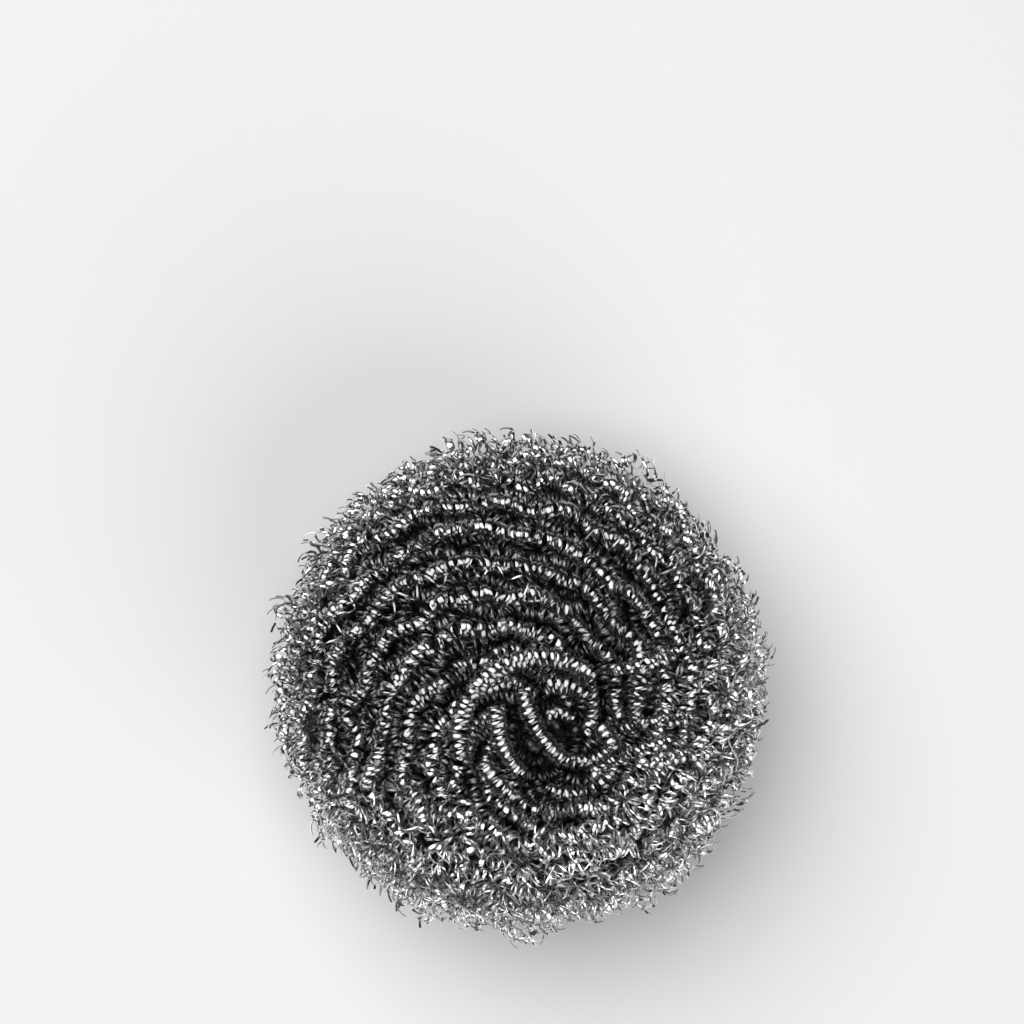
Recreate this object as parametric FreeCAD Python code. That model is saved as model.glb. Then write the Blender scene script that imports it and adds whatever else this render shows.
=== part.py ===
"""Spiral pot scrubber: a flattened ball wound from curled stainless-steel strands.

The ball lies on its back with the rosette facing up. Eight arms swirl out of the rosette, over
the rim and into the tuck at the back, round the packed inner winding, each with a front and a
back strand. Six springs, with their separate curls, lie open to view in the rosette's dimple.
"""

import FreeCAD
import Part

import bisect
import math
import os

Vector = FreeCAD.Vector

# The whole ball, in millimetres
ball_diameter = 90.0
pole_height = 52.0  # from pole to pole, before the dimples are pressed in
fullness_share = 0.85  # 1 gives an elliptic side view, less a fuller rim
rosette_x = 4.0  # the rosette's centre, from the ball's middle
rosette_y = -9.8
flat_depth = 0.5  # how far the lowest strands are pressed flat

# The strands of the outer layer, each a tube over its curls
strand_diameter = 3.2
strand_gap = 0.5  # least clear gap between neighbours
end_gap = 1.5  # between the cut ends that meet on the rim
arm_count = 8  # strands side by side in the swirl
tightest_bend_share = 1.6  # of the strand's diameter, where an arm turns into the rosette

# The dimple under the rosette and the tuck at the back
front_dimple_depth = 8.0
front_dimple_floor_radius = 8.0
front_dimple_rim_radius = 24.0
back_tuck_depth = 3.0
back_tuck_floor_radius = 6.0
back_tuck_rim_radius = 16.0

# The packed turns inside
core_clearance = 0.6
core_end_radius = 3.0  # of the flat at each pole

# The springs in the dimple
rosette_radius = 14.6
spring_diameter = 3.0  # over the curls
wire_diameter = 0.5
curl_pitch = 1.07
spring_clearance = 0.5  # above the strands that the springs lie on

# Each spring's arc in plan, as shares of the rosette's radius from the rosette's centre:
# centre x, centre y, radius, then the angles where it starts and ends, in degrees
spring_arc_shares = [
    (0.00, 0.00, 1.00, 48, 195),
    (1.10, 0.77, 1.32, 188, 234),
    (0.61, 0.33, 1.15, 178, 223),
    (0.35, 0.26, 1.19, 208, 238),
    (0.21, 0.14, 0.52, 45, 108),
    (-0.89, -1.06, 2.03, 27, 38),
]

# How finely the curves are followed
profile_steps = 1600
halvings = 24
strand_spans = 14
core_rings = 40
loft_degree = 2  # a higher one overshoots between the rings
points_per_span = 12
points_per_curl = 24

strand_radius = strand_diameter / 2
layer_radius = ball_diameter / 2 - strand_radius
layer_half_height = pole_height / 2 - strand_radius
rosette_offset = Vector(rosette_x, rosette_y, 0)
up = Vector(0, 0, 1)


def ease(x):
    """0 below 0, 1 above 1, and smooth between."""
    x = min(1, max(0, x))
    return x * x * (3 - 2 * x)


def layer_point(angle):
    """(radius, height) of the outer layer's middle surface, with angle 0 at the front pole."""
    radius = layer_radius * math.sin(angle) ** fullness_share
    height = layer_half_height * abs(math.cos(angle)) ** fullness_share
    if angle < math.pi / 2:
        wall = front_dimple_rim_radius - front_dimple_floor_radius
        return radius, height - front_dimple_depth * (1 - ease((radius - front_dimple_floor_radius) / wall))
    wall = back_tuck_rim_radius - back_tuck_floor_radius
    return radius, back_tuck_depth * (1 - ease((radius - back_tuck_floor_radius) / wall)) - height


profile = [layer_point(math.pi * step / profile_steps) for step in range(profile_steps + 1)]
radii = [radius for radius, height in profile]
heights = [height for radius, height in profile]
alongs = [0]  # distance from the front pole along the surface
for here, there in zip(profile, profile[1:]):
    alongs.append(alongs[-1] + math.dist(here, there))
equator_along = alongs[profile_steps // 2]

swirl_run = equator_along - rosette_radius  # from the rosette's edge out to the rim
squeeze = 1 - rosette_offset.Length / swirl_run  # of the spacing, as the swirl is off centre
strand_spacing = (strand_diameter + strand_gap) / squeeze
base_radius = arm_count * strand_spacing / (2 * math.pi)  # of the circle that the arms unwind from
arm_end_radius = math.hypot(base_radius, tightest_bend_share * strand_diameter)

# An arm's turn about the axis: its radius times the sine of its lead stays the base radius,
# which keeps neighbouring arms one spacing apart all the way
turns = [0]
for here, there, radius in zip(alongs, alongs[1:], radii[1:]):
    cosine = math.sqrt(max(0, 1 - (base_radius / max(radius, base_radius)) ** 2))
    turns.append(turns[-1] + (there - here) * cosine / base_radius)


def sample(column, along):
    """A column of the layer's values, at that distance from the front pole."""
    high = min(max(1, bisect.bisect_left(alongs, along)), profile_steps)
    share = (along - alongs[high - 1]) / (alongs[high] - alongs[high - 1])
    return column[high - 1] + (column[high] - column[high - 1]) * share


def swirl_shift(along):
    """How far the layer is carried sideways: the whole offset in the rosette, nothing at the rim."""
    return rosette_offset * min(1, max(0, equator_along - along) / swirl_run)


def arm_place(along, phase):
    """The point on an arm's middle line at that distance from the front pole."""
    radius = sample(radii, along)
    angle = sample(turns, along) + phase
    flat = Vector(math.cos(angle), math.sin(angle), 0) * radius
    return flat + swirl_shift(along) + up * sample(heights, along)


def surface_height(x, y):
    """Height of the layer's middle surface over a point of the front, found by halving."""
    low, high = 0, equator_along
    for step in range(halvings):
        along = (low + high) / 2
        if (Vector(x, y, 0) - swirl_shift(along)).Length > sample(radii, along):
            low = along
        else:
            high = along
    return sample(heights, high)


def heading(place, at, reach):
    """Unit tangent of the curve place(at)."""
    return (place(at + reach) - place(at - reach)).normalize()


def arc_edge(start, tangent, reach, end):
    """The arc from start along tangent whose end tangents meet at that reach from both ends."""
    corner = start + tangent * reach
    chord_middle = (start + end) / 2
    cosine = start.distanceToPoint(end) / 2 / reach
    return Part.Arc(start, corner + (chord_middle - corner) / (1 + cosine), end).toShape()


def biarc_edges(start, start_tangent, end, end_tangent):
    """Two tangent arcs that join two points with given tangents."""
    chord = end - start
    across = chord.dot(start_tangent + end_tangent)
    bend = 2 * (1 - start_tangent.dot(end_tangent))
    reach = (math.sqrt(across * across + bend * chord.dot(chord)) - across) / bend
    joint = (start + end + (start_tangent - end_tangent) * reach) / 2
    return [
        arc_edge(start, start_tangent, reach, joint),
        arc_edge(end, end_tangent * -1, reach, joint),
    ]


def tube(points, tangents, diameter):
    """A round tube on biarcs through the points, with straight ends one diameter long, and its path."""
    first = points[0] - tangents[0] * diameter
    last = points[-1] + tangents[-1] * diameter
    edges = [Part.LineSegment(first, points[0]).toShape()]
    for k in range(len(points) - 1):
        edges += biarc_edges(points[k], tangents[k], points[k + 1], tangents[k + 1])
    edges.append(Part.LineSegment(points[-1], last).toShape())
    path = Part.Wire(Part.__sortEdges__(edges))
    section = Part.Wire(Part.Circle(first, tangents[0], diameter / 2).toShape())
    return path.makePipeShell([section], True, False), path


def least_gap(points, others, diameter, apart):
    """Least clear distance between two tubes, or between stretches of one that many points apart."""
    nearest = min(
        point.distanceToPoint(other)
        for i, point in enumerate(points)
        for j, other in enumerate(others)
        if others is not points or j - i >= apart
    )
    return nearest - diameter


def strand(first_along, last_along, phase):
    """One strand of the outer layer, between two distances from the front pole."""
    step = (last_along - first_along) / strand_spans
    stops = [first_along + step * k for k in range(strand_spans + 1)]

    def place(along):
        return arm_place(along, phase)

    tangents = [heading(place, along, step / points_per_span) for along in stops]
    return tube([place(along) for along in stops], tangents, strand_diameter)


def outer_strands():
    """The solids and path points of the front and back strands, by name."""
    end_run = (strand_diameter + end_gap / 2) * base_radius / layer_radius
    front_start = next(along for along, radius in zip(alongs, radii) if radius >= arm_end_radius)
    back_end = next(along for along, radius in zip(alongs[::-1], radii[::-1]) if radius >= arm_end_radius)
    spans = {
        "front": (front_start, equator_along - end_run),
        "back": (equator_along + end_run, back_end),
    }
    solids = {}
    lines = {}
    for side, (first_along, last_along) in spans.items():
        for k in range(arm_count):
            name = f"{side}_strand_{k + 1}"
            solids[name], path = strand(first_along, last_along, 2 * math.pi * k / arm_count)
            lines[name] = path.discretize(Number=strand_spans * points_per_span)
    return solids, lines


def spring(arc_shares):
    """One spring along an arc in plan, lying on the strands of the dimple, and its path points."""
    centre_x, centre_y, radius, start, end = arc_shares
    centre = rosette_offset + Vector(centre_x, centre_y, 0) * rosette_radius
    arc_radius = radius * rosette_radius
    curls = int(arc_radius * math.radians(end - start) / curl_pitch)
    coil_radius = (spring_diameter - wire_diameter) / 2
    stand_off = strand_radius + spring_clearance + spring_diameter / 2

    def spine(share):
        angle = math.radians(start + (end - start) * share)
        flat = centre + Vector(math.cos(angle), math.sin(angle), 0) * arc_radius
        height = surface_height(flat.x, flat.y)
        slope = math.hypot(
            surface_height(flat.x + wire_diameter, flat.y) - height,
            surface_height(flat.x, flat.y + wire_diameter) - height,
        ) / wire_diameter
        return flat + up * (height + stand_off * math.hypot(1, slope))

    def place(curl):
        ahead = heading(spine, curl / curls, 1 / curls)
        side = ahead.cross(up).normalize()
        rise = side.cross(ahead)
        angle = 2 * math.pi * curl
        return spine(curl / curls) + (side * math.cos(angle) + rise * math.sin(angle)) * coil_radius

    stops = [k / 2 for k in range(2 * curls + 1)]
    tangents = [heading(place, curl, 1 / points_per_curl) for curl in stops]
    solid, path = tube([place(curl) for curl in stops], tangents, wire_diameter)
    return solid, path.discretize(Number=curls * points_per_curl)


def rosette_springs():
    """The solids and path points of the springs in the dimple, by name."""
    solids = {}
    lines = {}
    for k, arc_shares in enumerate(spring_arc_shares):
        name = f"rosette_spring_{k + 1}"
        solids[name], lines[name] = spring(arc_shares)
    return solids, lines


def inner_winding():
    """The packed inner turns as one plain core, a clearance inside the outer strands."""
    depth = strand_radius + core_clearance
    rings = []
    for k in range(core_rings + 1):
        row = round(profile_steps * k / core_rings)
        before = max(0, row - 1)
        after = min(profile_steps, row + 1)
        run = radii[after] - radii[before]
        fall = heights[before] - heights[after]
        slant = math.hypot(run, fall)
        radius = radii[row] - depth * fall / slant
        if radius < core_end_radius:
            continue
        centre = swirl_shift(alongs[row]) + up * (heights[row] - depth * run / slant)
        rings.append(Part.Wire(Part.Circle(centre, up, radius).toShape()))
    return Part.makeLoft(rings, True, False, False, loft_degree)


def print_gaps(kind, lines, diameter, apart):
    """Each tube's least gap to itself, and the least gap between two of them."""
    names = list(lines)
    for name in names:
        print(f"{name}: least gap to itself {least_gap(lines[name], lines[name], diameter, apart):.2f} mm")
    between = min(
        least_gap(lines[name], lines[other], diameter, apart)
        for k, name in enumerate(names)
        for other in names[k + 1 :]
    )
    print(f"{kind}: least gap between two {between:.2f} mm")


def stand_flat(solids, lowest):
    """The solids cut flat at the base and lifted onto height zero."""
    base = lowest + flat_depth
    width = ball_diameter + strand_diameter
    above = Part.makeBox(width, width, width, Vector(-width / 2, -width / 2, base))
    standing = {}
    for name, solid in solids.items():
        if solid.BoundBox.ZMin < base:
            solid = solid.common(above)
        standing[name] = solid.translated(Vector(0, 0, -base))
    return standing


def main():
    strands, strand_lines = outer_strands()
    springs, spring_lines = rosette_springs()
    for side in ("front", "back"):
        side_lines = {name: line for name, line in strand_lines.items() if name.startswith(side)}
        print_gaps(f"{side} strands", side_lines, strand_diameter, 2 * points_per_span)
    print_gaps("springs", spring_lines, wire_diameter, points_per_curl // 2)

    lowest = min(point.z for line in strand_lines.values() for point in line) - strand_radius
    os.makedirs("parts", exist_ok=True)
    for name, solid in stand_flat({"inner_winding": inner_winding(), **strands, **springs}, lowest).items():
        solid.exportStep(f"parts/{name}.step")


main()
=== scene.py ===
import math

import bmesh
import bpy
import numpy as np
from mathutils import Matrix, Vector


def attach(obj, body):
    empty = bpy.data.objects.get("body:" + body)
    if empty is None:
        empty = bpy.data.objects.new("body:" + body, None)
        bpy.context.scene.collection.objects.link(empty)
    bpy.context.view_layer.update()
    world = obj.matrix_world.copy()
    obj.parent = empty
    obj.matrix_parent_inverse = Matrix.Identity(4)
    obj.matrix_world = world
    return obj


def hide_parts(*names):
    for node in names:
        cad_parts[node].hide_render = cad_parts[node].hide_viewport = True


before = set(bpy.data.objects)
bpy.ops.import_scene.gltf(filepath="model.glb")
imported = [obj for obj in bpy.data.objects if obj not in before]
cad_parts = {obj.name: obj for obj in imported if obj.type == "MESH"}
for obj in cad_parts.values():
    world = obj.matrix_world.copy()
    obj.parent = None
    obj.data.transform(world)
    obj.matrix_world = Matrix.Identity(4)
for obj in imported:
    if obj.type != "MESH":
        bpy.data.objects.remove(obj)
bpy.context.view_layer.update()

draws = np.random.default_rng(41)  # the springs' random draws
hookDraws = np.random.default_rng(7)  # the loose ends' own

# the swirl that the strands follow, the same as the solids', in metres
swirl = {
    "ballDiameter": 0.090,
    "poleHeight": 0.052,
    "fullness": 0.85,
    "rosette": (0.0040, -0.0098),
    "rosetteRadius": 0.0146,
    "dimpleDepth": 0.008,
    "dimpleFloor": 0.008,
    "dimpleRim": 0.024,
    "tuckDepth": 0.003,
    "tuckFloor": 0.006,
    "tuckRim": 0.016,
    "strand": 0.0032,
    "strandGap": 0.0005,
    "arms": 8,
    "flat": 0.0005,
    "steps": 1600,
    "halvings": 30,  # in the search for a height
    "upWaves": (6, 0.045, 0.007),  # waves in a strand's wobble, and the longest and shortest
    "sideWaves": (6, 0.05, 0.008),
}
upward = np.array([0.0, 0.0, 1.0])


def ease(x):
    x = np.clip(x, 0, 1)
    return x * x * (3 - 2 * x)


def layerProfile():
    # radius and height of the outer layer's middle surface, from the front pole to the back one
    s = swirl
    angle = np.linspace(0, math.pi, s["steps"] + 1)
    reachOut = s["ballDiameter"] / 2 - s["strand"] / 2
    reachUp = s["poleHeight"] / 2 - s["strand"] / 2
    radius = reachOut * np.sin(angle).clip(0) ** s["fullness"]
    height = reachUp * np.abs(np.cos(angle)) ** s["fullness"]
    dimpleShare = 1 - ease((radius - s["dimpleFloor"]) / (s["dimpleRim"] - s["dimpleFloor"]))
    tuckShare = 1 - ease((radius - s["tuckFloor"]) / (s["tuckRim"] - s["tuckFloor"]))
    frontHeight = height - s["dimpleDepth"] * dimpleShare
    backHeight = s["tuckDepth"] * tuckShare - height
    height = np.where(angle < math.pi / 2, frontHeight, backHeight)
    lowest = height.min() - s["strand"] / 2 + s["flat"]
    return radius, height - lowest


layerRadius, layerHeight = layerProfile()
stepLength = np.hypot(np.diff(layerRadius), np.diff(layerHeight))
layerAlong = np.concatenate([[0], np.cumsum(stepLength)])
slopeRadius = np.gradient(layerRadius, layerAlong)
slopeHeight = np.gradient(layerHeight, layerAlong)
equatorAlong = layerAlong[swirl["steps"] // 2]
equatorHeight = layerHeight[swirl["steps"] // 2]
swirlRun = equatorAlong - swirl["rosetteRadius"]
rosette = np.array(swirl["rosette"])
squeeze = 1 - np.linalg.norm(rosette) / swirlRun
armSpacing = (swirl["strand"] + swirl["strandGap"]) / squeeze
baseRadius = swirl["arms"] * armSpacing / (2 * math.pi)
lead = np.sqrt(np.clip(1 - (baseRadius / np.maximum(layerRadius, baseRadius)) ** 2, 0, 1))
layerTurn = np.concatenate([[0], np.cumsum(np.diff(layerAlong) * lead[1:] / baseRadius)])
print("swirl: arms every", round(armSpacing * 1000, 2), "mm")


def swirlShift(along):
    share = np.clip((equatorAlong - along) / swirlRun, 0, 1)
    return share[:, None] * rosette


def surfacePoints(along, angle, lift):
    # points at a distance from the front pole and an angle about the axis, lifted off the surface
    radius = np.interp(along, layerAlong, layerRadius)
    height = np.interp(along, layerAlong, layerHeight)
    outRadius = -np.interp(along, layerAlong, slopeHeight)
    outHeight = np.interp(along, layerAlong, slopeRadius)
    around = np.stack([np.cos(angle), np.sin(angle)], axis=1)
    outward = np.column_stack([around * outRadius[:, None], outHeight])
    outward /= np.linalg.norm(outward, axis=1)[:, None]
    flat = around * radius[:, None] + swirlShift(along)
    return np.column_stack([flat, height]) + outward * lift[:, None], outward


# how far the curls are out of true: tidy above and in the rosette, loose low, right and at the rim
# each reach has where it starts and ends, and what it adds
ruffle = {
    "limits": (0.1, 1),
    "least": 0.42,
    "low": (-0.006, -0.034, 0.40),
    "rim": (0.030, 0.045, 0.30),
    "right": (0.014, 0.040, 0.20),
    "rosette": (0.018, 0.011, -0.22),
}


def looseness(points):
    x, y, z = points.T
    total = np.full(len(x), ruffle["least"])
    fromRosette = np.hypot(x - rosette[0], y - rosette[1]) + np.maximum(equatorHeight - z, 0)
    reaches = {
        "low": y,
        "rim": np.hypot(x, y),
        "right": x - np.maximum(y, 0),
        "rosette": fromRosette,
    }
    for name, reach in reaches.items():
        start, end, share = ruffle[name]
        total += share * ease((reach - start) / (end - start))
    return np.clip(total, *ruffle["limits"])


def wander(reach, count, longest, shortest):
    # a smooth wobble: a few sine waves with drawn lengths and phases, about reach high
    waves = np.exp(draws.uniform(math.log(shortest), math.log(longest), count))
    phases = draws.uniform(0, 2 * math.pi, count)
    size = reach * math.sqrt(2 / count)
    return lambda at: size * np.sin(2 * math.pi * at[:, None] / waves + phases).sum(axis=1)


def makeRoute(points, outward):
    along = np.concatenate([[0], np.cumsum(np.linalg.norm(np.diff(points, axis=0), axis=1))])
    ahead = np.gradient(points, axis=0)
    ahead /= np.linalg.norm(ahead, axis=1)[:, None]
    side = np.cross(ahead, outward)
    side /= np.linalg.norm(side, axis=1)[:, None]
    return {"along": along, "points": points, "ahead": ahead, "side": side, "up": np.cross(side, ahead)}


def cutRoute(route, first, last):
    keep = (route["along"] >= first) & (route["along"] <= last)
    part = {name: values[keep] for name, values in route.items()}
    part["along"] = part["along"] - part["along"][0]
    return part


# how the curls of every spring vary: waves in each wobble, then the longest and the shortest,
# in metres of route for the pitch and in curls for the rest
curling = {
    "pitchChange": 0.6,
    "pitchWaves": (5, 0.03, 0.006),
    "leastOpening": 0.8,
    "fewestTurns": 3,
    "swellWaves": (5, 14, 1.6),
    "ovalWaves": (4, 9, 2),
    "rollWaves": (5, 9, 1.7),
    "slipWaves": (5, 6, 1.3),
    "leanWaves": (4, 11, 2.5),
    "trueEnds": 3,  # curls over which the ends come true
    "seam": 0.01,  # angle short of a full turn that counts as the next one
    "weld": 0.01,  # as a share of the ribbon's thickness
}


def straightSpring(turns, coil):
    # one curl of ribbon, spun, then repeated in line and merged, with its two ends closed
    bm = bmesh.new()
    outer = coil["across"] / 2
    edge = outer - coil["crown"]
    inner = outer - coil["thick"]
    half = coil["width"] / 2
    corners = ((edge, -half), (outer, 0), (edge, half), (inner, 0))
    ring = [bm.verts.new((r, 0, z)) for r, z in corners]
    edges = [bm.edges.new((ring[k], ring[k - 1])) for k in range(len(ring))]
    bmesh.ops.spin(
        bm, geom=ring + edges, cent=(0, 0, 0), axis=(0, 0, 1), angle=2 * math.pi,
        dvec=(0, 0, coil["pitch"] / coil["steps"]), steps=coil["steps"],
    )
    mesh = bpy.data.meshes.new("curl")
    bm.to_mesh(mesh)
    bm.free()
    curl = bpy.data.objects.new("curl", mesh)
    bpy.context.collection.objects.link(curl)
    row = curl.modifiers.new("row", "ARRAY")
    row.count = turns
    row.use_relative_offset = False
    row.use_constant_offset = True
    row.constant_offset_displace = (0, 0, coil["pitch"])
    row.use_merge_vertices = True
    row.merge_threshold = coil["thick"] * curling["weld"]
    repeated = curl.evaluated_get(bpy.context.evaluated_depsgraph_get())
    spring = bpy.data.meshes.new_from_object(repeated)
    bpy.data.objects.remove(curl)
    bpy.data.meshes.remove(mesh)
    bm = bmesh.new()
    bm.from_mesh(spring)
    ends = [edge for edge in bm.edges if edge.is_boundary]
    bmesh.ops.holes_fill(bm, edges=ends, sides=len(corners))
    bmesh.ops.recalc_face_normals(bm, faces=bm.faces)
    bm.to_mesh(spring)
    bm.free()
    return spring


def setAttributes(mesh, along, across, loose, tone):
    tones = np.full(len(along), tone)
    values = {"ribbonAlong": along, "ribbonAcross": across, "looseShare": loose, "strandTone": tones}
    for name, numbers in values.items():
        mesh.attributes.new(name, "FLOAT", "POINT").data.foreach_set("value", numbers)


def layCurls(route, coil):
    # a ribbon spring along a route: its pitch opens where it is loose, and no curl is quite true
    loose = looseness(route["points"])
    uneven = wander(curling["pitchChange"], *curling["pitchWaves"])(route["along"])
    opening = 1 + coil["stretch"] * loose * (1 + uneven)
    pitch = coil["pitch"] * np.maximum(opening, curling["leastOpening"])
    curlsAlong = np.gradient(route["along"]) / pitch
    turnAt = np.concatenate([[0], np.cumsum(curlsAlong[1:])])
    turns = max(curling["fewestTurns"], round(turnAt[-1]))
    turnAt *= turns / turnAt[-1]
    mesh = straightSpring(turns, coil)
    place = np.empty(len(mesh.vertices) * 3)
    mesh.vertices.foreach_get("co", place)
    x, y, z = place.reshape(-1, 3).T
    around = np.arctan2(y, x) % (2 * math.pi)
    around[around > 2 * math.pi - curling["seam"]] = 0
    turn = z / coil["pitch"] - around / (2 * math.pi)
    across = (turn - np.round(turn)) * coil["pitch"] / coil["width"]
    turn = np.round(turn) + around / (2 * math.pi)
    gain = np.interp(turn, turnAt, loose)
    shrunk = coil["shrink"] * np.maximum(gain - ruffle["least"], 0)
    swell = 1 - shrunk + gain * wander(coil["swell"], *curling["swellWaves"])(turn)
    oval = gain * wander(coil["oval"], *curling["ovalWaves"])(turn)
    roll = gain * wander(coil["roll"], *curling["rollWaves"])(turn)
    fade = gain * ease(np.minimum(turn, turns - turn) / curling["trueEnds"])
    slip = fade * wander(coil["slip"], *curling["slipWaves"])(turn) * coil["pitch"]
    leanUp = coil["lean"] + fade * wander(coil["leanChange"], *curling["leanWaves"])(turn)
    leanSide = fade * wander(coil["leanChange"], *curling["leanWaves"])(turn)
    width = coil["width"] * (1 - coil["thin"] * gain)
    rolled = 1 + across * width * roll / (coil["across"] / 2)
    x = x * swell * rolled * (1 + oval) * coil["press"]
    y = y * swell * rolled * (1 - oval)
    at = np.interp(turn, turnAt, route["along"]) + across * width + slip
    at = np.clip(at + x * leanUp + y * leanSide, 0, route["along"][-1])
    centre, up, side = (
        np.column_stack([np.interp(at, route["along"], route[name][:, k]) for k in range(3)])
        for name in ("points", "up", "side")
    )
    new = centre + up * x[:, None] + side * y[:, None]
    new[:, 2] = np.maximum(new[:, 2], coil["floor"])
    mesh.vertices.foreach_set("co", new.ravel())
    setAttributes(mesh, turn, across, gain, draws.random())
    return mesh


sharpAngle = math.radians(60)  # faces that meet more steeply keep a hard edge


def makePiece(name, meshes, material, nodes):
    parts = [bpy.data.objects.new(name, mesh) for mesh in meshes]
    for part in parts:
        bpy.context.collection.objects.link(part)
    piece = parts[0]
    if len(parts) > 1:
        with bpy.context.temp_override(
            active_object=piece, object=piece, selected_objects=parts, selected_editable_objects=parts,
        ):
            bpy.ops.object.join()
    piece.data.name = name
    piece.data.shade_smooth()
    piece.data.set_sharp_from_angle(angle=sharpAngle)
    piece.data.materials.clear()
    piece.data.materials.append(material)
    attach(piece, "root")
    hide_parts(*nodes)
    print(name, len(piece.data.polygons), "faces")
    return piece


# steel ribbon: drawn lines along it, dull and bright stretches, edges rubbed bright, and painted light
# that makes the loose curls lighter
# scales are along and across the ribbon, and the shade runs from dark to light
steelLook = {
    "lineScale": (0.8, 14),
    "lineDetail": 3,
    "dullScale": (0.45, 0.8),
    "dullDetail": 2,
    "noiseMiddle": 0.5,
    "strandsApart": 70,
    "edgeFrom": 0.38,  # of the width, from its middle
    "edgeShade": 2,
    "toneShade": 0.2,
    "dullShade": 0.35,
    # painted light: the loose curls, low, on the right and at the rim, are painted lighter
    "looseLightPainted": 1.7,
    "lineShade": 0.5,
    "dullRough": 0.35,
    "lineRough": 0.15,
    "looseRough": 0.15,
    "lineBump": 0.4,
    "lineDepth": 0.00003,
}


def drawnSteelGroup():
    look = steelLook
    group = bpy.data.node_groups.new("drawnSteel", "ShaderNodeTree")
    inputs = {"Dark": "NodeSocketColor", "Light": "NodeSocketColor", "Rough": "NodeSocketFloat"}
    outputs = {"Color": "NodeSocketColor", "Roughness": "NodeSocketFloat", "Lines": "NodeSocketFloat"}
    for sockets, way in ((inputs, "INPUT"), (outputs, "OUTPUT")):
        for name, kind in sockets.items():
            group.interface.new_socket(name, in_out=way, socket_type=kind)
    nodes, links = group.nodes, group.links

    def attribute(name):
        node = nodes.new("ShaderNodeAttribute")
        node.attribute_name = name
        return node.outputs["Fac"]

    def math2(operation, a, b):
        node = nodes.new("ShaderNodeMath")
        node.operation = operation
        for socket, value in zip(node.inputs, (a, b)):
            if isinstance(value, (int, float)):
                socket.default_value = value
            else:
                links.new(value, socket)
        return node.outputs[0]

    def addUp(total, *values):
        for value in values:
            total = math2("ADD", total, value)
        return total

    def aboutMiddle(value, share):
        return math2("MULTIPLY", math2("SUBTRACT", value, look["noiseMiddle"]), share)

    def noise(scale, detail):
        place = nodes.new("ShaderNodeCombineXYZ")
        for socket, value, size in zip(place.inputs, (along, across), scale):
            links.new(math2("MULTIPLY", value, size), socket)
        links.new(math2("MULTIPLY", tone, look["strandsApart"]), place.inputs["Z"])
        node = nodes.new("ShaderNodeTexNoise")
        node.inputs["Scale"].default_value = 1
        node.inputs["Detail"].default_value = detail
        links.new(place.outputs[0], node.inputs["Vector"])
        return node.outputs["Fac"]

    def mix(factor, a, b):
        node = nodes.new("ShaderNodeMix")
        node.data_type = "RGBA"
        links.new(factor, node.inputs["Factor"])
        links.new(a, node.inputs["A"])
        links.new(b, node.inputs["B"])
        return node.outputs["Result"]

    given = nodes.new("NodeGroupInput").outputs
    along, across, tone = (attribute(name) for name in ("ribbonAlong", "ribbonAcross", "strandTone"))
    # painted light: the steel is painted lighter where the curls are loose, low, on the right and at the
    # rim
    loose = math2("MAXIMUM", math2("SUBTRACT", attribute("looseShare"), ruffle["least"]), 0)
    lines = noise(look["lineScale"], look["lineDetail"])
    dull = noise(look["dullScale"], look["dullDetail"])
    fromMiddle = math2("ABSOLUTE", across, 0)
    edge = math2("MAXIMUM", math2("SUBTRACT", fromMiddle, look["edgeFrom"]), 0)
    shade = addUp(
        math2("MULTIPLY", tone, look["toneShade"]),
        math2("MULTIPLY", dull, look["dullShade"]),
        math2("MULTIPLY", loose, look["looseLightPainted"]),
        aboutMiddle(lines, look["lineShade"]),
        math2("MULTIPLY", edge, look["edgeShade"]),
    )
    rough = addUp(
        given["Rough"],
        aboutMiddle(dull, look["dullRough"]),
        aboutMiddle(lines, look["lineRough"]),
        math2("MULTIPLY", loose, look["looseRough"]),
    )
    result = nodes.new("NodeGroupOutput").inputs
    links.new(mix(shade, given["Dark"], given["Light"]), result["Color"])
    links.new(rough, result["Roughness"])
    links.new(lines, result["Lines"])
    return group


drawnSteel = drawnSteelGroup()
# lit and shaded copies of the one steel: the shaded and deep-shade copies are painted darker, painted
# shade for the inner layers under the outer rows
ribbonSteels = {
    "brightRibbonSteel": {"dark": (0.10, 0.10, 0.103), "light": (0.82, 0.817, 0.81), "rough": 0.17},
    "deepShadeRibbonSteel": {"dark": (0.02, 0.02, 0.021), "light": (0.26, 0.259, 0.256), "rough": 0.36},
    "shadedRibbonSteel": {"dark": (0.03, 0.03, 0.032), "light": (0.54, 0.537, 0.53), "rough": 0.32},
}


def ribbonMaterial(name, dark, light, rough):
    material = bpy.data.materials.new(name)
    material.use_nodes = True
    nodes, links = material.node_tree.nodes, material.node_tree.links
    shader = nodes["Principled BSDF"]
    shader.inputs["Metallic"].default_value = 1
    steel = nodes.new("ShaderNodeGroup")
    steel.node_tree = drawnSteel
    steel.inputs["Dark"].default_value = (*dark, 1)
    steel.inputs["Light"].default_value = (*light, 1)
    steel.inputs["Rough"].default_value = rough
    bump = nodes.new("ShaderNodeBump")
    bump.inputs["Strength"].default_value = steelLook["lineBump"]
    bump.inputs["Distance"].default_value = steelLook["lineDepth"]
    links.new(steel.outputs["Color"], shader.inputs["Base Color"])
    links.new(steel.outputs["Roughness"], shader.inputs["Roughness"])
    links.new(steel.outputs["Lines"], bump.inputs["Height"])
    links.new(bump.outputs["Normal"], shader.inputs["Normal"])
    return material


steels = [ribbonMaterial(name, **finish) for name, finish in ribbonSteels.items()]
brightSteel, deepShadeSteel, shadedSteel = steels
print("ribbon steels:", len(steels))

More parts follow.
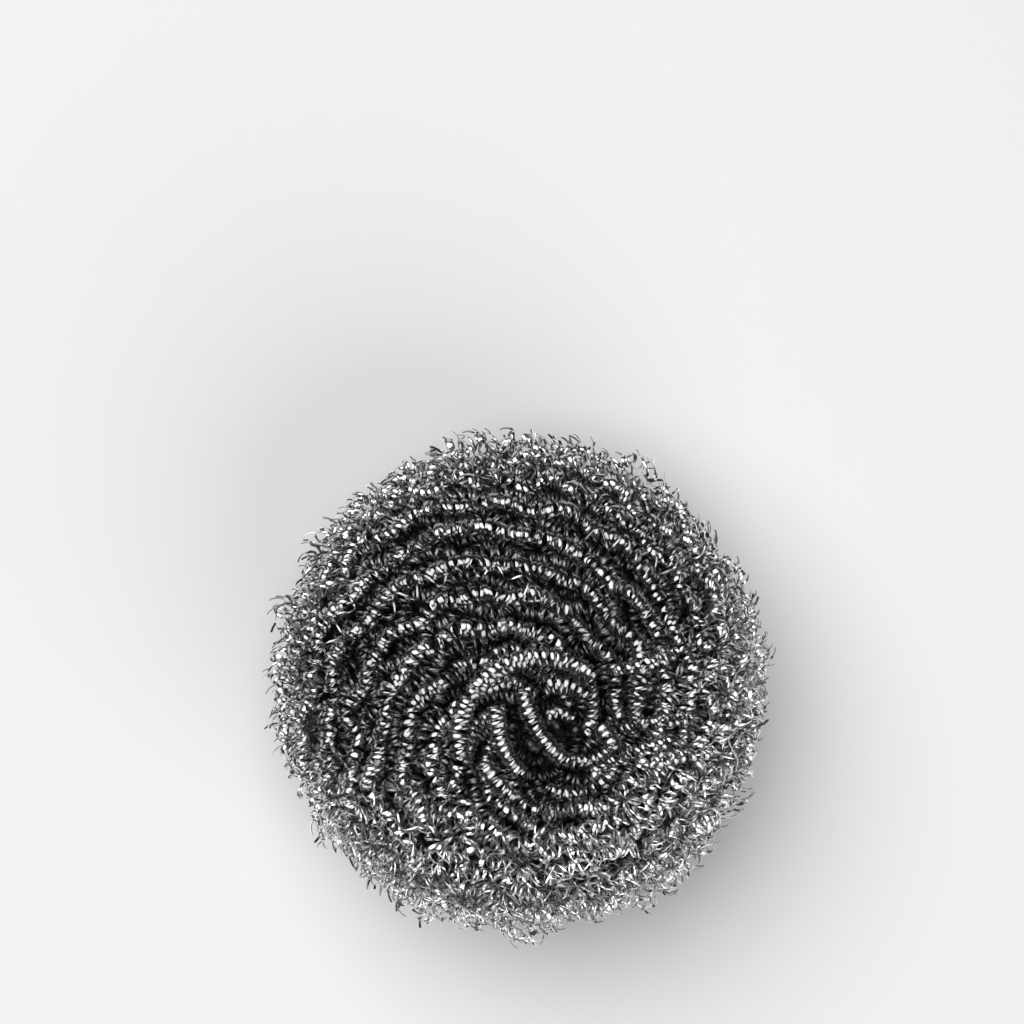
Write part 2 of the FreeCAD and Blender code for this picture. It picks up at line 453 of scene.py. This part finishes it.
# loose ends of ribbon that stand out from a strand, and slant and bend over the way that it runs
hook = {
    "radius": 0.0026,
    "width": 0.00042,
    "thick": 0.00008,
    "steps": 6,
    "sweeps": (28, 42, 62),
    "perStrand": 38,
    "sink": 0.00015,
    "sizes": (0.55, 1.10),
    "slant": 0.6,
    "tilt": 0.25,
    "swing": 0.5,
    "spread": 0.0055,  # above and below the rim
    "looseBias": 3,
}


def straightHook(sweep):
    # stands on the origin along +Z and bends over towards +X
    bm = bmesh.new()
    half = hook["width"] / 2
    thick = hook["thick"]
    corners = ((0, -half), (thick, -half), (thick, half), (0, half))
    ring = [bm.verts.new((x, y, 0)) for x, y in corners]
    face = bm.faces.new(ring)
    bmesh.ops.spin(
        bm, geom=ring + list(face.edges) + [face], cent=(hook["radius"], 0, 0), axis=(0, 1, 0),
        angle=math.radians(sweep), steps=hook["steps"],
    )
    bmesh.ops.recalc_face_normals(bm, faces=bm.faces)
    mesh = bpy.data.meshes.new("hook")
    bm.to_mesh(mesh)
    bm.free()
    return mesh


def standHooks(route, coil, curls):
    # each starts on the ribbon of the spring that it belongs to
    spots = np.empty(len(curls.vertices) * 3)
    curls.vertices.foreach_get("co", spots)
    spots = spots.reshape(-1, 3)
    fromRim = (route["points"][:, 2] - equatorHeight) / hook["spread"]
    chance = looseness(route["points"]) ** hook["looseBias"] * np.exp(-fromRim ** 2)
    picks = hookDraws.choice(len(chance), size=hook["perStrand"], p=chance / chance.sum())
    meshes = []
    for pick in picks:
        mesh = straightHook(hookDraws.choice(hook["sweeps"]))
        place = np.empty(len(mesh.vertices) * 3)
        mesh.vertices.foreach_get("co", place)
        local = place.reshape(-1, 3)
        size = hookDraws.uniform(*hook["sizes"])
        yaw = hookDraws.normal(0, hook["swing"])
        lean = hookDraws.normal(0, hook["tilt"], 2)
        up, ahead, side = (route[name][pick] for name in ("up", "ahead", "side"))
        stand = up + (hook["slant"] + lean[0]) * ahead + lean[1] * side
        stand /= np.linalg.norm(stand)
        over = math.cos(yaw) * ahead + math.sin(yaw) * side
        over -= stand * over.dot(stand)
        over /= np.linalg.norm(over)
        aim = route["points"][pick] + up * coil["across"] / 2
        foot = spots[np.argmin(np.linalg.norm(spots - aim, axis=1))] - stand * hook["sink"]
        new = foot + size * (local @ np.array([over, np.cross(stand, over), stand]))
        new[:, 2] = np.maximum(new[:, 2], coil["floor"])
        mesh.vertices.foreach_set("co", new.ravel())
        loose = np.full(len(local), ruffle["least"])
        tone = hookDraws.random()
        setAttributes(mesh, local[:, 2] / hook["radius"], local[:, 1] / hook["width"], loose, tone)
        meshes.append(mesh)
    return meshes


# the outer layer: a spring for each strand
outer = {
    "hand": 1,
    "lifts": (-0.0003, 0.0005),
    "across": 0.0034,
    "pitch": 0.00130,
    "width": 0.00090,
    "thin": 0.58,
    "shrink": 0.45,
    "crown": 0.00010,
    "thick": 0.00006,
    "steps": 12,
    "stretch": 0.30,
    "swell": 0.15,
    "oval": 0.14,
    "roll": 0.40,
    "slip": 0.55,
    "lean": 0.15,
    "leanChange": 0.50,
    "press": 0.85,
    "floor": 0.0001,
    "riseLoose": 0.0002,
    "wobbleUp": 0.0012,
    "wobbleSide": 0.0014,
    "tuckIn": (0.003, 0.010, 0.0008),
    "innerRadius": 0.0079,
    "samples": 1800,
}


def armRoute(phase, hand, settings, raised):
    # an arm of the swirl from the rosette over the rim to the tuck, wandering most where it is loose
    inside = layerAlong[layerRadius >= settings["innerRadius"]]
    along = np.linspace(inside[0], inside[-1], settings["samples"])
    turn = hand * np.interp(along, layerAlong, layerTurn) + phase
    radius = np.interp(along, layerAlong, layerRadius)
    length = np.concatenate([[0], np.cumsum(np.diff(along) * radius[1:] / baseRadius)])
    loose = looseness(surfacePoints(along, turn, np.zeros(len(along)))[0])
    below, run, depth = settings["tuckIn"]
    height = np.interp(along, layerAlong, layerHeight)
    lift = raised - depth * ease((equatorHeight + below - height) / run)
    lift += settings["riseLoose"] * np.maximum(loose - ruffle["least"], 0)
    lift += loose * wander(settings["wobbleUp"], *swirl["upWaves"])(length)
    drift = loose * wander(settings["wobbleSide"], *swirl["sideWaves"])(length)
    return makeRoute(*surfacePoints(np.clip(along + drift, 0, layerAlong[-1]), turn, lift))


def buildOuterLayer():
    for k in range(swirl["arms"]):
        phase = 2 * math.pi * k / swirl["arms"]
        route = armRoute(phase, outer["hand"], outer, draws.uniform(*outer["lifts"]))
        rim = route["along"][np.argmax(route["points"][:, 2] < equatorHeight)]
        for side, first, last in (("front", 0, rim), ("back", rim, route["along"][-1])):
            half = cutRoute(route, first, last)
            curls = layCurls(half, outer)
            meshes = [curls] + standHooks(half, outer, curls)
            makePiece(f"{side}Curls_{k + 1}", meshes, brightSteel, [f"{side}_strand_{k + 1}"])


buildOuterLayer()

# the springs that lie open in the rosette, each on an arc: the centre's x and y and the radius, as shares
# of the rosette's radius, then the angles that it starts and ends at
rosetteSpring = {
    "samples": 200,
    "probe": 0.0005,  # step that measures the slope under a spring
    "across": 0.0038,
    "pitch": 0.00130,
    "width": 0.00080,
    "thin": 0.2,
    "shrink": 0.2,
    "crown": 0.00015,
    "thick": 0.00006,
    "steps": 16,
    "stretch": 0.20,
    "swell": 0.14,
    "oval": 0.15,
    "roll": 0.4,
    "slip": 0.38,
    "lean": 0.10,
    "leanChange": 0.35,
    "press": 0.8,
    "floor": 0.0001,
    "clearance": 0.0005,
    "arcs": [
        (0.00, 0.00, 1.00, 48, 195),
        (1.10, 0.77, 1.32, 188, 234),
        (0.61, 0.33, 1.15, 178, 223),
        (0.35, 0.26, 1.19, 208, 238),
        (0.21, 0.14, 0.52, 45, 108),
        (-0.89, -1.06, 2.03, 27, 38),
    ],
}


def surfaceHeight(x, y):
    # height of the middle surface over points of the front
    low = np.zeros(len(x))
    high = np.full(len(x), equatorAlong)
    for step in range(swirl["halvings"]):
        along = (low + high) / 2
        shift = swirlShift(along)
        outside = np.hypot(x - shift[:, 0], y - shift[:, 1]) > np.interp(along, layerAlong, layerRadius)
        low = np.where(outside, along, low)
        high = np.where(outside, high, along)
    return np.interp(high, layerAlong, layerHeight)


def springRoute(arc, settings):
    centreX, centreY, radius, start, end = arc
    size = swirl["rosetteRadius"]
    angle = np.radians(np.linspace(start, end, settings["samples"]))
    x = rosette[0] + (centreX + radius * np.cos(angle)) * size
    y = rosette[1] + (centreY + radius * np.sin(angle)) * size
    probe = settings["probe"]
    height = surfaceHeight(x, y)
    riseX = surfaceHeight(x + probe, y) - height
    riseY = surfaceHeight(x, y + probe) - height
    slope = np.hypot(riseX, riseY) / probe
    standOff = swirl["strand"] / 2 + settings["clearance"] + settings["across"] / 2
    points = np.column_stack([x, y, height + standOff * np.hypot(1, slope)])
    return makeRoute(points, np.tile(upward, (len(x), 1)))


def buildRosette():
    for k, arc in enumerate(rosetteSpring["arcs"]):
        mesh = layCurls(springRoute(arc, rosetteSpring), rosetteSpring)
        makePiece(f"rosetteCurls_{k + 1}", [mesh], brightSteel, [f"rosette_spring_{k + 1}"])


buildRosette()

# short springs over the rows right of the rosette, and one in its pocket: where each starts and ends,
# and its bow to the side
stray = {
    **rosetteSpring,
    "across": 0.0027,
    "pitch": 0.00135,
    "stretch": 0.3,
    "sunk": 0.0010,
    "ends": [
        (0.0165, -0.0090, 0.0310, -0.0062, 0.0006),
        (0.0170, 0.0024, 0.0285, 0.0056, -0.0005),
        (0.0130, -0.0164, 0.0270, -0.0104, 0.0008),
        (0.0235, -0.0142, 0.0345, -0.0126, 0.0004),
        (0.0050, -0.0060, 0.0098, -0.0066, 0.0010),
    ],
}
# ribbons pulled nearly straight, that lie across the rows
pulled = {
    **stray,
    "across": 0.0034,
    "pitch": 0.0052,
    "width": 0.00034,
    "thin": 0.0,
    "crown": 0.00005,
    "steps": 24,
    "swell": 0.3,
    "roll": 0.8,
    "slip": 0.1,
    "press": 0.45,
    "sunk": 0.0016,
    "ends": [
        (-0.0080, 0.0205, 0.0040, 0.0125, 0.0030),
        (0.0240, -0.0175, 0.0405, -0.0085, -0.0025),
        (-0.0245, 0.0120, -0.0100, 0.0200, 0.0015),
        (0.0100, 0.0270, 0.0290, 0.0180, 0.0020),
        (-0.0300, -0.0160, -0.0150, -0.0270, -0.0020),
        (0.0020, -0.0345, 0.0220, -0.0270, -0.0020),
        (-0.0345, 0.0020, -0.0285, 0.0180, 0.0010),
    ],
}


def strayRoute(ends, settings):
    startX, startY, endX, endY, bow = ends
    runX, runY = endX - startX, endY - startY
    share = np.linspace(0, 1, settings["samples"])
    aside = bow * np.sin(math.pi * share) / math.hypot(runX, runY)
    x = startX + runX * share - runY * aside
    y = startY + runY * share + runX * aside
    standOff = swirl["strand"] / 2 + settings["across"] / 2 - settings["sunk"]
    points = np.column_stack([x, y, surfaceHeight(x, y) + standOff])
    return makeRoute(points, np.tile(upward, (len(x), 1)))


def buildStrays():
    for name, settings in (("strayCurls", stray), ("pulledRibbon", pulled)):
        for k, ends in enumerate(settings["ends"]):
            mesh = layCurls(strayRoute(ends, settings), settings)
            makePiece(f"{name}_{k + 1}", [mesh], brightSteel, [f"front_strand_{k + 1}"])


buildStrays()

# the imported turns inside: curls between the outer rows and across them, spirals in the rosette and tuck,
# and a heart painted near black; the inner curls take darker copies of the steel, painted shade for the
# inside of the ball
between = {
    "arms": 8,
    "armsPerPiece": 4,
    "phase": 0.5,  # of the spacing, so that they lie between the outer rows
    "hand": 1,
    "lift": -0.0021,
    "across": 0.0031,
    "pitch": 0.00122,
    "width": 0.00056,
    "thin": 0.40,
    "shrink": 0.45,
    "crown": 0.00010,
    "thick": 0.00006,
    "steps": 10,
    "stretch": 0.40,
    "swell": 0.15,
    "oval": 0.16,
    "roll": 0.45,
    "slip": 0.5,
    "lean": 0.2,
    "leanChange": 0.45,
    "press": 0.9,
    "floor": 0.0003,
    "riseLoose": 0.0022,
    "wobbleUp": 0.0009,
    "wobbleSide": 0.0022,
    "tuckIn": (0.003, 0.010, 0.0008),
    "innerRadius": 0.0079,
    "samples": 1600,
}
under = {
    **between,
    "arms": 10,
    "armsPerPiece": 5,
    "hand": -1,
    "lift": -0.0042,
    "across": 0.0028,
    "pitch": 0.00130,
    "steps": 8,
    "floor": 0.0006,
    "riseLoose": 0.0010,
    "wobbleSide": 0.0026,
    "innerRadius": 0.0072,
    "spiralReach": (0.0096, 0.0016),
    "spiralTurns": 2.8,
    "spiralLift": -0.0030,
    "spiralWobble": 0.0006,
    "spiralWaves": (5, 5, 0.8),
    "spiralSamples": 400,
}
deep = {
    **under,
    "arms": 12,
    "armsPerPiece": 6,
    "hand": 1,
    "lift": -0.0036,
    "riseLoose": 0.0014,
}
heart = {
    "sink": 0.0064,
    "ridge": 0.0005,
    "subdivisions": 6,
    "cells": 700,
    # painted shade: the heart is painted near black for the dark inside the ball, and darker still at its
    # cells' edges
    "litColor": (0.05, 0.05, 0.052),
    "creviceShadeColor": (0.012, 0.012, 0.012),
    "rough": 0.55,
    "bump": 0.8,
    "bumpDepth": 0.0006,
}


def spiralRoute(fromEnd):
    # a spiral of curls on the floor of the rosette, or of the tuck when it is counted from the other end
    reach = np.linspace(*under["spiralReach"], under["spiralSamples"])
    along = layerAlong[-1] - reach if fromEnd else reach
    angle = np.linspace(0, 2 * math.pi * under["spiralTurns"], under["spiralSamples"])
    lift = under["spiralLift"] + wander(under["spiralWobble"], *under["spiralWaves"])(angle)
    return makeRoute(*surfacePoints(along, angle, lift))


def buildInside():
    layers = (
        ("betweenCurls", between, shadedSteel),
        ("crossingCurls", under, deepShadeSteel),
        ("deepCurls", deep, deepShadeSteel),
    )
    for name, layer, steel in layers:
        phases = (np.arange(layer["arms"]) + layer["phase"]) * 2 * math.pi / layer["arms"]
        meshes = []
        for phase in phases:
            route = armRoute(phase, layer["hand"], layer, layer["lift"])
            meshes.append(layCurls(route, layer))
        each = layer["armsPerPiece"]
        for k in range(layer["arms"] // each):
            makePiece(f"{name}_{k + 1}", meshes[k * each:(k + 1) * each], steel, ["inner_winding"])
    spirals = [layCurls(spiralRoute(fromEnd), under) for fromEnd in (False, True)]
    makePiece("innerSpirals", spirals, deepShadeSteel, ["inner_winding"])


def heartMaterial():
    material = bpy.data.materials.new("packedSteelPaintedShade")
    material.use_nodes = True
    nodes, links = material.node_tree.nodes, material.node_tree.links
    shader = nodes["Principled BSDF"]
    shader.inputs["Metallic"].default_value = 1
    place = nodes.new("ShaderNodeTexCoord")
    cells = nodes.new("ShaderNodeTexVoronoi")
    cells.inputs["Scale"].default_value = heart["cells"]
    # painted shade: darker towards the cells' edges, in the creases between them
    ramp = nodes.new("ShaderNodeValToRGB")
    ramp.color_ramp.elements[0].color = (*heart["litColor"], 1)
    ramp.color_ramp.elements[1].color = (*heart["creviceShadeColor"], 1)
    bump = nodes.new("ShaderNodeBump")
    bump.inputs["Strength"].default_value = heart["bump"]
    bump.inputs["Distance"].default_value = heart["bumpDepth"]
    bump.invert = True
    shader.inputs["Roughness"].default_value = heart["rough"]
    links.new(place.outputs["Object"], cells.inputs["Vector"])
    links.new(cells.outputs["Distance"], ramp.inputs["Fac"])
    links.new(ramp.outputs["Color"], shader.inputs["Base Color"])
    links.new(cells.outputs["Distance"], bump.inputs["Height"])
    links.new(bump.outputs["Normal"], shader.inputs["Normal"])
    return material


def buildHeart():
    bm = bmesh.new()
    bmesh.ops.create_icosphere(bm, subdivisions=heart["subdivisions"], radius=1)
    mesh = bpy.data.meshes.new("innerHeart")
    bm.to_mesh(mesh)
    bm.free()
    place = np.empty(len(mesh.vertices) * 3)
    mesh.vertices.foreach_get("co", place)
    x, y, z = place.reshape(-1, 3).T
    polar = np.arccos(np.clip(z, -1, 1))
    along = np.interp(polar, np.linspace(0, math.pi, len(layerAlong)), layerAlong)
    angle = np.arctan2(y, x)
    rows = np.cos(swirl["arms"] * (angle - np.interp(along, layerAlong, layerTurn)))
    points = surfacePoints(along, angle, heart["ridge"] * rows - heart["sink"])[0]
    mesh.vertices.foreach_set("co", points.ravel())
    mesh.update()
    makePiece("innerHeart", [mesh], heartMaterial(), ["inner_winding"])


buildInside()
buildHeart()

# floor, light and camera
stage = {
    "floorSize": 12.0,
    "floorColor": (0.82, 0.82, 0.82),
    "floorRough": 0.8,
    "keyFrom": (-0.32, 0.32, 1.02),
    "keySize": 1.3,
    "keyRadiance": 3.3,
    "fillFrom": (0.5, -0.7, 0.55),
    "fillSize": 1.1,
    "fillRadiance": 2.2,
    "world": 0.05,
    "cameraHeight": 1.5,
    "cameraReach": 20,
    "frameWidth": 0.1866,  # at the height of the rim
    "aim": (-0.0011, 0.0308),
}


def buildStage():
    bm = bmesh.new()
    bmesh.ops.create_grid(bm, x_segments=1, y_segments=1, size=stage["floorSize"] / 2)
    mesh = bpy.data.meshes.new("floor")
    bm.to_mesh(mesh)
    bm.free()
    floor = bpy.data.objects.new("floor", mesh)
    bpy.context.collection.objects.link(floor)
    material = bpy.data.materials.new("paleFloor")
    material.use_nodes = True
    shader = material.node_tree.nodes["Principled BSDF"]
    shader.inputs["Base Color"].default_value = (*stage["floorColor"], 1)
    shader.inputs["Roughness"].default_value = stage["floorRough"]
    mesh.materials.append(material)
    for name in ("key", "fill"):
        lamp = bpy.data.lights.new(name + "Softbox", "AREA")
        lamp.shape = "DISK"
        lamp.size = stage[name + "Size"]
        lamp.energy = stage[name + "Radiance"] * math.pi * math.pi * (lamp.size / 2) ** 2
        softbox = bpy.data.objects.new(name + "Softbox", lamp)
        softbox.location = stage[name + "From"]
        aim = -Vector(stage[name + "From"])
        softbox.rotation_euler = aim.to_track_quat("-Z", "Y").to_euler()
        bpy.context.collection.objects.link(softbox)
    world = bpy.data.worlds.new("studio")
    world.use_nodes = True
    background = world.node_tree.nodes["Background"]
    background.inputs["Color"].default_value = (1, 1, 1, 1)
    background.inputs["Strength"].default_value = stage["world"]
    bpy.context.scene.world = world
    camera = bpy.data.cameras.new("camera")
    distance = stage["cameraHeight"] - equatorHeight
    camera.lens = camera.sensor_width * distance / stage["frameWidth"]
    camera.clip_end = stage["cameraReach"]
    view = bpy.data.objects.new("camera", camera)
    view.location = (*stage["aim"], stage["cameraHeight"])
    bpy.context.collection.objects.link(view)
    bpy.context.scene.camera = view
    bpy.context.scene.view_settings.view_transform = "Standard"
    print("stage ready")


buildStage()
